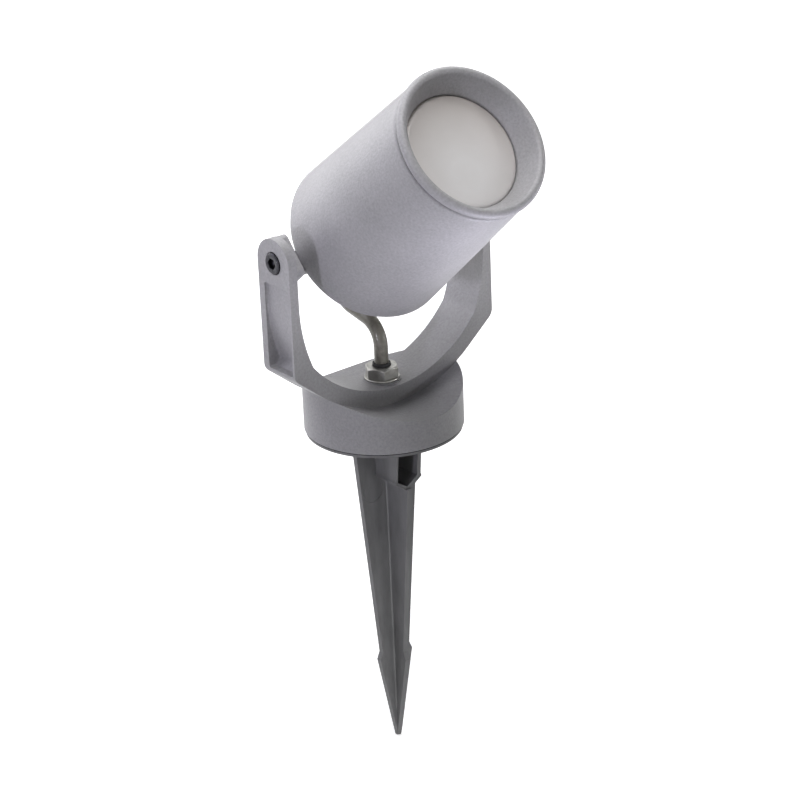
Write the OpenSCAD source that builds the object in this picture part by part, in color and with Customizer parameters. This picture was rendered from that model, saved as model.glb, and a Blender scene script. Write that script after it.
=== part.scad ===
// Garden spike spotlight: a tilting lamp head in a U yoke, on a round canopy over a ground spike.
// Origin: on the canopy's axis, at the canopy's rim. +Z is up, +X runs along the tilt axis and -Y is the front.
// Head pieces are drawn along their own +Z, which is the beam axis, from the tilt axis at zero.

/* [Canopy] */
// Outer radius of the canopy
canopy_r = 39.5; // [36:0.5:44]
// Wall of the canopy
canopy_wall = 3.2; // [2.5:0.1:4.5]
// Roof between the saddle and the wiring space
roof_t = 3; // [2.5:0.1:4]
// Thickness of the rim gasket
gasket_t = 0.6; // [0.4:0.1:1]
// Width of the rim gasket
gasket_w = 4.6; // [3:0.1:5]
// Thickness of the bottom cover
cover_t = 1.4; // [1:0.1:3]
// How far the cover's edge stays inside the canopy's
cover_inset = 0.7; // [0.3:0.1:2]

/* [Yoke] */
// Height of the tilt axis over the canopy's rim
pivot_h = 100; // [94:1:120]
// Clear space between the hood and each ear
hood_gap = 9.8; // [7:0.1:12]
// Thickness of an arm at the tilt axis
arm_t = 4.8; // [4.2:0.1:7]
// Width of an arm, front to back
arm_w = 24; // [22:1:30]
// Angle below the horizontal where the arms run into the round foot, seen from its centre
foot_angle = 38.3; // [35:0.1:45]
// Thickness of the yoke's foot
band_t = 8.6; // [7:0.1:11]
// Height of the foot's lowest line over the canopy's rim
band_foot = 14.5; // [12:0.1:17]
// How far an arm's inner face leans in before it meets the foot
arm_lean = 6.5; // [5:0.5:8]
// Straight part of an arm below the tilt axis
arm_straight = 20; // [16:1:26]
// Drop from the place where arm and foot meet inside to the outer bend
bend_drop = 4; // [2:0.5:6]
// Metal left behind the pocket in an arm
arm_skin = 3.4; // [2.5:0.1:4]
// Rim of the pocket along the arm's back edge
rim_back = 4.2; // [2:0.1:6]
// Rim of the pocket along the arm's front edge
rim_front = 1.4; // [1:0.1:5]
// Rim of the pocket over the outer bend
rim_foot = 3.6; // [2:0.1:6]
// Distance from the tilt axis down to the pocket
pocket_drop = 11; // [8:0.5:14]

/* [Head] */
// Angle of the beam axis above the horizontal
head_elev = 40; // [30:1:50]
// Tilt axis to the front of the rim
head_front = 98; // [90:1:110]
// Tilt axis to the rear edge of the hood
head_back = 7.5; // [6:0.5:12]
// Outer radius of the hood at its rear edge
hood_rear_r = 42.2; // [41:0.1:45]
// Outer radius of the hood at its front edge
hood_front_r = 37.6; // [37:0.1:40]
// Wall of the hood
hood_wall = 3; // [2.4:0.1:4]
// Rounding of the hood's rear edge
hood_round = 2; // [0.5:0.1:2.2]

/* [Front ring and lens] */
// Outer radius of the rounded rim
rim_r = 38.2; // [37.5:0.1:41]
// Radius of the rim's rounding
rim_round = 1.9; // [1.2:0.1:2.4]
// Depth of the rim behind its front
rim_h = 5.4; // [5:0.1:7]
// Radius of the lens opening
lip_r = 28; // [26:0.5:29]
// Thickness of the lip over the lens
lip_t = 2; // [1.5:0.1:3]
// Depth of the lens opening behind the rim's front
lens_depth = 11; // [9:0.5:14]
// Outer radius of the ring's thread
thread_r = 34; // [33:0.1:35]
// Length of the ring's thread
thread_l = 12; // [11:0.5:14]
// Wall of the threaded sleeve
sleeve_t = 2.3; // [2:0.1:3]
// Thickness of the lens at its edge
lens_t = 3.8; // [3:0.1:5]
// Rise of the lens' bevel
lens_bevel = 1; // [0.5:0.1:2]
// Rise of the lens' dome over its bevel
lens_dome = 1.8; // [1:0.1:3]
// Thickness of the lens seal
lens_seal_t = 1.5; // [1:0.1:2]

/* [Rear housing and ears] */
// Depth of the housing behind the hood
rear_depth = 15.4; // [15:0.2:20]
// Length of the housing's full-width band
rear_band = 2; // [2:0.2:4]
// How far the housing's edge stays inside the hood's
flange_inset = 1.7; // [1:0.1:2]
// Radius of the housing's flat back
rear_flat_r = 30; // [27:0.5:33]
// Wall of the housing
rear_wall = 3; // [2.5:0.1:4]
// Thickness of the seal between hood and housing
rear_seal_t = 0.6; // [0.4:0.1:1]
// Thickness of an ear
ear_t = 4.4; // [4:0.1:6]
// Width of an ear across the beam axis
ear_w = 22; // [18:0.5:24]
// Length of an ear in front of the tilt axis
ear_front = 6.5; // [6.5:0.5:10]
// Length of an ear behind the tilt axis
ear_back = 16; // [15:0.5:20]
// Rounding of an ear's front corners
ear_round = 3; // [1:0.5:4]
// Rounding of an ear's rear corners
ear_back_round = 5.5; // [3:0.5:7]

/* [Pivot screws] */
// Radius of a pivot screw's shank
pivot_r = 3; // [2.5:0.1:4]
// Radius of its socket head
pivot_head_r = 5.4; // [4.5:0.1:6]
// Height of its socket head
pivot_head_h = 3; // [2.4:0.1:4]
// Depth of the counterbore in the arm
pivot_sink = 2.2; // [1.5:0.1:2.6]
// Width across the flats of its hexagon socket
pivot_hex = 5; // [4:0.5:6]
// Outer radius of the friction washer between arm and ear
washer_r = 6.2; // [5:0.1:6.5]
// Thickness of the friction washer
washer_t = 0.6; // [0.4:0.1:1]

/* [Cable glands and lead] */
// Diameter of the lead between the two glands
lead_d = 7; // [6:0.5:7]
// Radius of a gland's thread
gland_r = 6; // [5.8:0.1:6.4]
// Width across the flats of a gland nut
gland_af = 15; // [14.5:0.5:17]
// Height of a gland nut
gland_nut_h = 5.6; // [5:0.2:7]
// Radius of the round collar under the nut
collar_r = 8.8; // [8.8:0.1:11]
// Height of the round collar
collar_h = 1.1; // [0.8:0.1:2]
// Height of the seal's neck over the nut
neck_h = 1.5; // [1:0.1:2.5]
// Height of the boss that carries the gland on the yoke's foot
gland_boss_h = 0.9; // [0.9:0.1:2]
// Bend radius of the lead, as a share of the height between its two glands
lead_bend_share = 0.267; // [0.2:0.001:0.3]
// How far the lead leans back between its two bends
lead_lean = 78; // [60:1:85]
// Straight part of the lead before the head's gland
lead_end = 4; // [2:0.5:6]

/* [Lamp] */
// Radius of the reflector lamp's face
lamp_r = 25; // [24:0.5:25.5]
// Length of the lamp without its pins
lamp_l = 54; // [50:1:56]
// Radius of the lamp's base
lamp_base_r = 12.5; // [12:0.5:14]
// Distance between the lamp's two pins
pin_pitch = 10; // [9:0.5:11]
// Radius of a pin's head
pin_r = 2.4; // [2:0.1:2.6]
// Length of a pin
pin_l = 7; // [6:0.5:8]
// Angle that the lamp turns to lock
lock_angle = 25; // [15:1:35]
// Radius of the lamp holder
holder_r = 13.5; // [13:0.5:16]
// Thickness of the holder's bracket
bracket_t = 2; // [1.5:0.5:3]
// Width of the holder's bracket
bracket_w = 18; // [14:1:22]

/* [Spike] */
// Length of the spike below the cover
spike_l = 174; // [150:1:220]
// Reach of a fin from the axis at the top
fin_top_r = 20.4; // [19.5:0.1:22]
// Reach of a fin over the barb
fin_neck_r = 8.7; // [7:0.1:10]
// Reach of the barb
barb_r = 10.4; // [10:0.1:12]
// Height of the barbed tip
barb_h = 51; // [38:1:60]
// Thickness of a fin
fin_t = 2.8; // [2:0.1:3.5]
// Thickness of the flange that carries the fins
flange_t = 4; // [3:0.5:6]
// Depth from the flange's top to the front fin, which carries the socket's floor
socket_h = 28.7; // [26:0.1:40]
// Width of the socket in front of the fins
socket_w = 15.6; // [15:0.2:19]
// Rise of the socket's floor from the front fin to its sides
socket_rise = 4.7; // [3:0.1:7]
// Wall of the socket
socket_t = 2; // [1.6:0.1:2.4]
// How far the socket's front stays behind the edges of the fins
socket_inset = 1; // [0.5:0.1:2]

/* [Supply inlet] */
// Radius of the grommet's bore for the supply cable
inlet_r = 3.6; // [3:0.1:4]
// Distance from the canopy's axis forward to the inlet
inlet_y = 9.4; // [8.5:0.1:11]
// Outer radius of the grommet
grommet_r = 5.8; // [5.6:0.1:6]

/* [Hidden] */
$fn = 96;
cut = 1;
thread_gap = 0.1;
pivot_gap = 0.05;
part_gap = 0.3;
ring_seat_gap = 0.25;

metal_paint = "#b9b8c4";
spike_paint = "#6c6c6e";
dark_rubber = "#1d1d1e";
black_steel = "#161616";
gland_grey = "#8f8f8c";

// Canopy and yoke
yoke_span = 2 * (hood_rear_r + hood_gap + ear_t + washer_t);
arm_foot_x = yoke_span / 2 - arm_lean;
band_r = arm_foot_x / cos(foot_angle);
arc_z = band_foot + band_t + band_r;
saddle_r = band_r + band_t;
function saddle_z(x) = arc_z - sqrt(pow(saddle_r, 2) - pow(x, 2));
function band_top_z(x) = arc_z - sqrt(pow(band_r, 2) - pow(x, 2));
arm_x = yoke_span / 2 + arm_t;
arm_foot_z = band_top_z(arm_foot_x);
arm_curve_z = pivot_h - arm_straight;
bend_z = arm_foot_z - bend_drop;
arm_curve_r = (pow(arm_curve_z - arm_foot_z, 2) + pow(arm_lean, 2)) / (2 * arm_lean);
arm_curve_x = yoke_span / 2 - arm_curve_r;
bend_dist = sqrt(pow(arm_x, 2) + pow(arc_z - bend_z, 2));
bend_angle = atan2(bend_z - arc_z, arm_x) - acos(min(1, saddle_r / bend_dist));
bend_start = [saddle_r * cos(bend_angle), arc_z + saddle_r * sin(bend_angle)];
cover_z = -gasket_t - cover_t;
cover_screw_r = 1.5;
cover_screw_head_r = 2.9;
cover_screw_head_h = 1.1;
cover_screw_l = 8;
cover_boss_r = 3.4;
cover_screw_pcr = canopy_r - canopy_wall - cover_boss_r + cut;
cover_screw_angles = [35, 145, 270];

// Glands
gland_seat_z = band_top_z(0) + gland_boss_h;
gland_boss_r = collar_r + 0.6 * cut;
gland_socket_l = gland_seat_z - (band_foot - roof_t);
nut_bore_r = gland_r - 0.3 * cut;
gland_upper_r = nut_bore_r - thread_gap;
gland_top = collar_h + gland_nut_h;
seal_r = lead_d / 2 + cut;
seal_bore_r = lead_d / 2 + pivot_gap;
gland_body_bore_r = lead_d / 2 + part_gap;

// Head
hood_front_z = head_front - rim_h - ring_seat_gap;
lens_lip_z = head_front - lens_depth - lip_t;
lens_back_z = lens_lip_z - lens_t;
lens_stop_z = lens_back_z - lens_seal_t;
sleeve_z = head_front - rim_h - thread_l;
lens_r = thread_r - sleeve_t - part_gap;
stop_t = 2.5;
stop_r = lens_r - 2 * cut;
function hood_r(z) = hood_rear_r + (hood_front_r - hood_rear_r) * (z + head_back) / (hood_front_z + head_back);
flange_z = -head_back - rear_seal_t;
rear_z = -head_back - rear_depth;
rear_band_z = flange_z - rear_band;
flange_r = hood_rear_r - flange_inset;
spigot_h = 6;
spigot_r = hood_rear_r - hood_wall - 2 * part_gap;
spigot_wall = 8;
hood_screw_r = 2;
hood_screw_head_r = 3.5;
hood_screw_head_h = 2.4;
hood_screw_pcr = hood_rear_r - hood_wall - hood_screw_head_r - 0.5 * cut;
hood_screw_l = 18;
hood_boss_l = 15;
hood_screw_angles = [90, 215, 325];
ear_x = yoke_span / 2 - washer_t - ear_t;

// Lamp
lamp_face_z = lens_stop_z - stop_t - cut;
lamp_back_z = lamp_face_z - lamp_l;
lamp_flange_h = 3.5;
lamp_neck_share = 0.3;
pin_head_h = 2.6;
pin_stem_r = 1.5;
bracket_z = -head_back + spigot_h;
holder_top_z = lamp_back_z - part_gap;
slot_depth = pin_l + cut;
bracket_screw_r = 1.5;
bracket_screw_head_r = 2.8;
bracket_screw_head_h = 1.6;
bracket_screw_l = 6;
bracket_screw_x = spigot_r - spigot_wall / 2;

// Spike
spike_top_z = cover_z;
tip_z = spike_top_z - spike_l;
barb_z = tip_z + barb_h;
tip_r = 0.8;
barb_rise = 4;
plate_hole_r = grommet_r + part_gap;
fin_slope = (fin_top_r - fin_neck_r) / (spike_l - barb_h);
socket_z = spike_top_z - socket_h;
socket_slope = 2 * socket_rise / (socket_w - fin_t);
socket_floor_z = socket_z - socket_slope * fin_t / 2 + socket_t * sqrt(1 + pow(socket_slope, 2));
spike_screw_pcr = 12.5;
spike_screw_angles = [45, 135];
spike_screw_r = 1.5;
spike_screw_head_r = 2.8;
spike_screw_head_h = 2;
spike_nut_r = 3.1;
spike_nut_h = 2.4;

// Terminal block
block_size = [24, 9, 8];
block_y = 19;
block_screw_r = 1.7;
block_pitch = 7.5;

// Grommet
grommet_lip = 1.6;
grommet_groove_r = inlet_r + 1.4 * cut;

// Lead: up out of the lower gland, back and round in two bends, and into the head's gland along its axis
neck_z = gland_seat_z + gland_top + neck_h;
gland_in = neck_h + gland_nut_h / 2;
head_lean = 90 - head_elev;
mouth_l = head_back + rear_depth + gland_top + neck_h;
mouth = [0, mouth_l * sin(head_lean), pivot_h - mouth_l * cos(head_lean)];
into_head = [0, -sin(head_lean), cos(head_lean)];
lead_bend_r = lead_bend_share * (mouth.z - neck_z);
lead_run = (mouth.y + lead_end * sin(head_lean) - lead_bend_r * (1 - 2 * cos(lead_lean) + cos(head_lean))) / sin(lead_lean);
lead_rise_z = mouth.z - lead_end * cos(head_lean) - lead_bend_r * (2 * sin(lead_lean) + sin(head_lean)) - lead_run * cos(lead_lean);
function bend_points(p, h1, h2, n) = [for (i = [1:n]) let (h = h1 + (h2 - h1) * i / n)
    p + sign(h2 - h1) * lead_bend_r * [0, cos(h1) - cos(h), sin(h) - sin(h1)]];
lead_rise = [0, 0, lead_rise_z];
lead_first = bend_points(lead_rise, 0, lead_lean, 5);
lead_back = lead_first[4] + lead_run * [0, sin(lead_lean), cos(lead_lean)];
lead_route = concat([[0, 0, neck_z - gland_in], [0, 0, (neck_z + lead_rise_z) / 2], lead_rise], lead_first, [lead_back],
    bend_points(lead_back, lead_lean, -head_lean, 8), [mouth, mouth + gland_in * into_head]);
lead_sides = 12;

// Places its children in the head's frame, with +Z along the beam and the tilt axis at zero
module on_head() {
    translate([0, 0, pivot_h]) rotate([90 - head_elev, 0, 0]) children();
}

// Everything on the near side of the right arm's curved inner face, and all below the place where it meets the foot
module inside_right_arm() {
    translate([arm_curve_x, arm_curve_z]) circle(arm_curve_r, $fn = 360);
    translate([-2 * yoke_span, -cut]) square([2 * yoke_span + arm_curve_x, arm_curve_z + arm_curve_r]);
    translate([-3 * yoke_span, -2 * cut]) square([6 * yoke_span, arm_foot_z + cut]);
}

// Clear space between the arms, as a front view
module gap_outline() {
    translate([-yoke_span / 2, arm_curve_z]) square([yoke_span, pivot_h + arm_w]);
    intersection() {
        inside_right_arm();
        mirror([1, 0]) inside_right_arm();
        translate([-yoke_span, 0]) square([2 * yoke_span, arm_curve_z + cut]);
        union() {
            translate([0, arc_z]) circle(band_r, $fn = 360);
            translate([-yoke_span, arm_foot_z]) square([2 * yoke_span, pivot_h]);
        }
    }
}

// Outer outline of the yoke, as a front view
module yoke_outline() {
    difference() {
        union() {
            intersection() {
                translate([0, arc_z]) circle(saddle_r, $fn = 360);
                translate([-bend_start.x, 0]) square([2 * bend_start.x, arc_z]);
            }
            polygon([[-arm_x, pivot_h + arm_w], [-arm_x, bend_z], [-bend_start.x, bend_start.y],
                bend_start, [arm_x, bend_z], [arm_x, pivot_h + arm_w]]);
        }
        gap_outline();
    }
}

// Pocket in the outer face of the right arm, as a solid to cut away
module arm_pocket() {
    pocket_w = arm_w - rim_back - rim_front;
    translate([0, arm_w / 2 - rim_back, 0]) rotate([90, 0, 0]) linear_extrude(pocket_w) difference() {
        translate([yoke_span / 2 - arm_lean, bend_z + rim_foot])
            square([arm_x, pivot_h - pocket_drop - bend_z - rim_foot]);
        translate([arm_curve_x, arm_curve_z]) circle(arm_curve_r + arm_skin, $fn = 360);
    }
}

module yoke_solid() {
    intersection() {
        rotate([90, 0, 0]) translate([0, 0, -arm_w / 2]) linear_extrude(arm_w) yoke_outline();
        rotate([90, 0, 90]) translate([0, 0, -arm_x - cut]) linear_extrude(2 * (arm_x + cut)) union() {
            translate([-arm_w / 2, 0]) square([arm_w, pivot_h]);
            translate([0, pivot_h]) circle(arm_w / 2);
        }
    }
}

module canopy_solid() {
    difference() {
        cylinder(r = canopy_r, h = saddle_z(canopy_r));
        translate([0, canopy_r + cut, arc_z]) rotate([90, 0, 0]) cylinder(r = saddle_r, h = 2 * (canopy_r + cut), $fn = 360);
    }
}

// Hollow under the canopy's roof
module canopy_hollow() {
    difference() {
        translate([0, 0, -cut]) cylinder(r = canopy_r - canopy_wall, h = saddle_z(canopy_r) + cut);
        translate([0, canopy_r + cut, arc_z]) rotate([90, 0, 0])
            cylinder(r = saddle_r + roof_t, h = 2 * (canopy_r + cut), $fn = 360);
    }
}

module yoke() {
    color(metal_paint) difference() {
        union() {
            yoke_solid();
            translate([0, 0, band_foot + band_t / 2]) cylinder(r = gland_boss_r, h = gland_seat_z - band_foot - band_t / 2);
        }
        for (s = [0, 1]) mirror([s, 0, 0]) {
            arm_pocket();
            translate([yoke_span / 2 - cut, 0, pivot_h]) rotate([0, 90, 0]) cylinder(r = pivot_r + pivot_gap, h = arm_t + 2 * cut);
            translate([arm_x - pivot_sink, 0, pivot_h]) rotate([0, 90, 0])
                cylinder(r = pivot_head_r + part_gap, h = pivot_sink + cut);
        }
        translate([0, 0, band_foot - cut]) cylinder(r = gland_r + thread_gap, h = gland_seat_z - band_foot + 2 * cut);
    }
}

module canopy() {
    color(metal_paint) difference() {
        union() {
            difference() {
                canopy_solid();
                canopy_hollow();
            }
            intersection() {
                canopy_hollow();
                for (a = cover_screw_angles) rotate([0, 0, a]) translate([cover_screw_pcr, 0, -gasket_t])
                    cylinder(r = cover_boss_r, h = saddle_z(canopy_r));
            }
            for (a = cover_screw_angles) rotate([0, 0, a]) translate([cover_screw_pcr, 0, -gasket_t])
                cylinder(r = cover_boss_r, h = 2 * gasket_t);
        }
        translate([0, 0, band_foot - roof_t - cut]) cylinder(r = gland_r + thread_gap, h = roof_t + band_t);
        for (a = cover_screw_angles) rotate([0, 0, a]) translate([cover_screw_pcr, 0, -gasket_t - cut])
            cylinder(r = cover_screw_r + thread_gap, h = cover_screw_l + cut);
    }
}

module base_gasket() {
    color(dark_rubber) translate([0, 0, -gasket_t]) difference() {
        cylinder(r = canopy_r - cover_inset / 2, h = gasket_t);
        translate([0, 0, -cut]) cylinder(r = canopy_r - gasket_w, h = gasket_t + 2 * cut);
        for (a = cover_screw_angles) rotate([0, 0, a]) translate([cover_screw_pcr, 0, -cut])
            cylinder(r = cover_boss_r + part_gap, h = gasket_t + 2 * cut);
    }
}

module bottom_cover() {
    color(dark_rubber) translate([0, 0, cover_z]) difference() {
        cylinder(r = canopy_r - cover_inset, h = cover_t);
        translate([0, -inlet_y, -cut]) cylinder(r = grommet_groove_r, h = cover_t + 2 * cut);
        for (a = cover_screw_angles) rotate([0, 0, a]) translate([cover_screw_pcr, 0, -cut])
            cylinder(r = cover_screw_r + thread_gap, h = cover_t + 2 * cut);
        for (a = spike_screw_angles) rotate([0, 0, a]) translate([spike_screw_pcr, 0, -cut])
            cylinder(r = spike_screw_r + thread_gap, h = cover_t + 2 * cut);
    }
}

// Pan-head screw with its head's seat at zero and its shank along +Z
module pan_screw(shank_r, shank_l, head_r, head_h) {
    cylinder(r = shank_r, h = shank_l);
    difference() {
        translate([0, 0, -head_h]) cylinder(r1 = head_r - head_h / 3, r2 = head_r, h = head_h);
        for (a = [0, 90]) rotate([0, 0, a]) translate([-head_r / 2, -head_r / 9, -head_h - cut])
            cube([head_r, 2 * head_r / 9, head_h / 2 + cut]);
    }
}

module cover_screws() {
    color(black_steel) for (a = cover_screw_angles) rotate([0, 0, a]) translate([cover_screw_pcr, 0, cover_z])
        pan_screw(cover_screw_r, cover_screw_l, cover_screw_head_r, cover_screw_head_h);
}

// Outline of a fin, from the axis out, hung from the spike's top
module fin_outline() {
    polygon([[0, spike_top_z], [fin_top_r, spike_top_z], [fin_neck_r, barb_z], [barb_r, barb_z - barb_rise],
        [tip_r, tip_z], [0, tip_z]]);
}

module fin(angle) {
    rotate([0, 0, angle]) rotate([90, 0, 0]) translate([0, 0, -fin_t / 2]) linear_extrude(fin_t) children();
}

// Outline of the front fin, which starts under the socket
module front_fin_outline() {
    intersection() {
        fin_outline();
        translate([0, tip_z]) square([fin_top_r, socket_z - tip_z]);
    }
}

// Socket in front of the fins, with a floor that rises from the front fin to both sides
module spike_socket() {
    intersection() {
        rotate([90, 0, 0]) linear_extrude(fin_top_r) polygon([[-socket_w / 2, spike_top_z],
            [-socket_w / 2, socket_z + socket_rise], [-fin_t / 2, socket_z], [fin_t / 2, socket_z],
            [socket_w / 2, socket_z + socket_rise], [socket_w / 2, spike_top_z]]);
        rotate([90, 0, 90]) translate([0, 0, -socket_w]) linear_extrude(2 * socket_w) polygon([[0, spike_top_z],
            [socket_inset - fin_top_r, spike_top_z], [socket_inset - fin_top_r + fin_slope * socket_h, socket_z], [0, socket_z]]);
    }
}

module spike() {
    inner_x = socket_w / 2 - socket_t;
    color(spike_paint) difference() {
        union() {
            for (a = [0, 90, 180]) fin(a) fin_outline();
            fin(270) front_fin_outline();
            spike_socket();
            translate([0, 0, spike_top_z - flange_t]) cylinder(r = fin_top_r, h = flange_t);
        }
        translate([0, -fin_t / 2, 0]) rotate([90, 0, 0]) linear_extrude(fin_top_r) polygon([
            [-inner_x, spike_top_z - flange_t], [-inner_x, socket_floor_z + socket_slope * inner_x], [0, socket_floor_z],
            [inner_x, socket_floor_z + socket_slope * inner_x], [inner_x, spike_top_z - flange_t]]);
        translate([0, -inlet_y, spike_top_z - flange_t - cut]) cylinder(r = plate_hole_r, h = flange_t + 2 * cut);
        for (a = spike_screw_angles) rotate([0, 0, a]) translate([spike_screw_pcr, 0, spike_top_z - flange_t - cut])
            cylinder(r = spike_screw_r + thread_gap, h = flange_t + 2 * cut);
    }
}

module spike_screws() {
    color(black_steel) for (a = spike_screw_angles) rotate([0, 0, a]) translate([spike_screw_pcr, 0, spike_top_z - flange_t])
        pan_screw(spike_screw_r, flange_t + cover_t + spike_nut_h + cut, spike_screw_head_r, spike_screw_head_h);
}

module spike_nuts() {
    color(black_steel) for (a = spike_screw_angles) rotate([0, 0, a]) translate([spike_screw_pcr, 0, cover_z + cover_t])
        difference() {
            cylinder(r = spike_nut_r, h = spike_nut_h, $fn = 6);
            translate([0, 0, -cut]) cylinder(r = spike_screw_r + thread_gap, h = spike_nut_h + 2 * cut);
        }
}

module supply_grommet() {
    color(dark_rubber) translate([0, -inlet_y, cover_z]) rotate_extrude() {
        difference() {
            translate([inlet_r, -grommet_lip]) square([grommet_r - inlet_r, 2 * grommet_lip + cover_t]);
            translate([grommet_groove_r, 0]) square([grommet_r, cover_t]);
        }
    }
}

module terminal_block() {
    color("#e6e3da") translate([-block_size.x / 2, block_y - block_size.y / 2, cover_z + cover_t]) difference() {
        cube(block_size);
        for (i = [-1, 0, 1]) translate([block_size.x / 2 + i * block_pitch, block_size.y / 2, block_size.z / 2])
            cylinder(r = block_screw_r, h = block_size.z);
        for (i = [-1, 0, 1]) translate([block_size.x / 2 + i * block_pitch, -cut, block_size.z / 3])
            rotate([-90, 0, 0]) cylinder(r = block_screw_r, h = block_size.y + 2 * cut);
    }
}

// Gland pieces stand on their seat at zero and point along +Z
module gland_body(socket_l) {
    color(gland_grey) difference() {
        union() {
            translate([0, 0, -socket_l]) cylinder(r = gland_r, h = socket_l);
            cylinder(r = collar_r, h = collar_h);
            cylinder(r = gland_upper_r, h = collar_h + gland_nut_h / 2);
        }
        translate([0, 0, -socket_l - cut]) cylinder(r = gland_body_bore_r, h = socket_l + gland_top);
    }
}

module gland_nut() {
    nut_corner_r = gland_af / 2 / cos(30);
    color(gland_grey) translate([0, 0, collar_h]) difference() {
        intersection() {
            cylinder(r = nut_corner_r, h = gland_nut_h, $fn = 6);
            rotate_extrude() polygon([[0, 0], [nut_corner_r, 0], [nut_corner_r, gland_nut_h - cut],
                [gland_af / 2 - cut / 2, gland_nut_h], [0, gland_nut_h]]);
        }
        translate([0, 0, -cut]) cylinder(r = nut_bore_r, h = gland_nut_h / 2 + 2 * cut);
        cylinder(r = seal_r + thread_gap, h = gland_nut_h + cut);
    }
}

module gland_seal() {
    seal_z = collar_h + gland_nut_h / 2;
    color(dark_rubber) rotate_extrude() difference() {
        union() {
            translate([seal_bore_r, seal_z]) square([nut_bore_r - thread_gap - seal_bore_r, cut]);
            translate([seal_bore_r, seal_z]) square([seal_r - seal_bore_r, gland_nut_h / 2 + neck_h]);
        }
        translate([seal_bore_r, gland_top + neck_h]) circle(cut / 2);
    }
}

module at_base_gland() {
    translate([0, 0, gland_seat_z]) children();
}

module at_rear_gland() {
    on_head() translate([0, 0, rear_z]) rotate([180, 0, 0]) children();
}

module base_gland_body() {
    at_base_gland() gland_body(gland_socket_l);
}

module base_gland_nut() {
    at_base_gland() gland_nut();
}

module base_gland_seal() {
    at_base_gland() gland_seal();
}

module rear_gland_body() {
    at_rear_gland() gland_body(rear_wall);
}

module rear_gland_nut() {
    at_rear_gland() gland_nut();
}

module rear_gland_seal() {
    at_rear_gland() gland_seal();
}

// Unit vector from one route point's neighbour before it to the one after it
function along(p, i) = let (a = p[max(0, i - 1)], b = p[min(len(p) - 1, i + 1)]) (b - a) / norm(b - a);

// Rings of points round the route, which lies in the plane x = 0
function route_rings(p, r, n) = [for (i = [0:len(p) - 1]) let (t = along(p, i), u = [0, -t.z, t.y])
    for (k = [0:n - 1]) p[i] + r * (cos(360 * k / n) * [1, 0, 0] + sin(360 * k / n) * u)];

function tube_faces(m, n) = concat(
    [[for (k = [0:n - 1]) k]],
    [for (i = [0:m - 2]) for (k = [0:n - 1]) [i * n + k, (i + 1) * n + k, (i + 1) * n + (k + 1) % n, i * n + (k + 1) % n]],
    [[for (k = [n - 1:-1:0]) (m - 1) * n + k]]);

module lead() {
    color("#8d8d88") polyhedron(points = route_rings(lead_route, lead_d / 2, lead_sides),
        faces = tube_faces(len(lead_route), lead_sides), convexity = 6);
}

// Outline of an ear, seen along the tilt axis with the beam upward
module ear_outline() {
    translate([-ear_w / 2, ear_back_round - ear_back]) square([ear_w, ear_back + ear_front - ear_round - ear_back_round]);
    translate([-ear_w / 2 + ear_round, 0]) square([ear_w - 2 * ear_round, ear_front]);
    translate([-ear_w / 2 + ear_back_round, -ear_back]) square([ear_w - 2 * ear_back_round, ear_back]);
    for (s = [-1, 1]) {
        translate([s * (ear_w / 2 - ear_round), ear_front - ear_round]) circle(ear_round);
        translate([s * (ear_w / 2 - ear_back_round), ear_back_round - ear_back]) circle(ear_back_round);
    }
}

// Right ear, with the bridge that joins it to the housing behind the hood
module ear() {
    bridge_w = ear_w - 2 * ear_back_round;
    translate([ear_x, 0, 0]) rotate([90, 0, 90]) linear_extrude(ear_t) difference() {
        ear_outline();
        circle(pivot_r);
    }
    translate([rear_flat_r, -bridge_w / 2, -ear_back])
        cube([ear_x + ear_t - rear_flat_r, bridge_w, ear_back + rear_band_z]);
}

module rear_housing() {
    color(metal_paint) on_head() difference() {
        union() {
            rotate_extrude() union() {
                polygon([[0, rear_z], [rear_flat_r, rear_z], [flange_r, rear_band_z], [flange_r, flange_z], [0, flange_z]]);
                square_to(spigot_r, flange_z - cut, -head_back + spigot_h);
            }
            for (s = [0, 1]) mirror([s, 0, 0]) ear();
        }
        translate([0, 0, rear_z + rear_wall]) cylinder(r1 = rear_flat_r - rear_wall, r2 = spigot_r - spigot_wall,
            h = rear_depth - rear_wall - head_back + spigot_h + head_back + cut);
        translate([0, 0, rear_z - cut]) cylinder(r = gland_r + thread_gap, h = rear_wall + 2 * cut);
        for (a = hood_screw_angles) rotate([0, 0, a]) translate([hood_screw_pcr, 0, 0]) {
            translate([0, 0, rear_z - cut]) cylinder(r = hood_screw_head_r + part_gap, h = rear_band_z - rear_z + cut);
            translate([0, 0, rear_z]) cylinder(r = hood_screw_r + thread_gap, h = rear_depth + spigot_h + cut);
        }
        for (s = [-1, 1]) translate([s * bracket_screw_x, 0, bracket_z - bracket_screw_l])
            cylinder(r = bracket_screw_r + thread_gap, h = bracket_screw_l + cut);
    }
}

// Square from the axis out to r, between two heights
module square_to(r, z1, z2) {
    translate([0, z1]) square([r, z2 - z1]);
}

module rear_seal() {
    color(dark_rubber) on_head() translate([0, 0, flange_z]) difference() {
        cylinder(r = flange_r, h = rear_seal_t);
        translate([0, 0, -cut]) cylinder(r = spigot_r, h = rear_seal_t + 2 * cut);
    }
}

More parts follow.
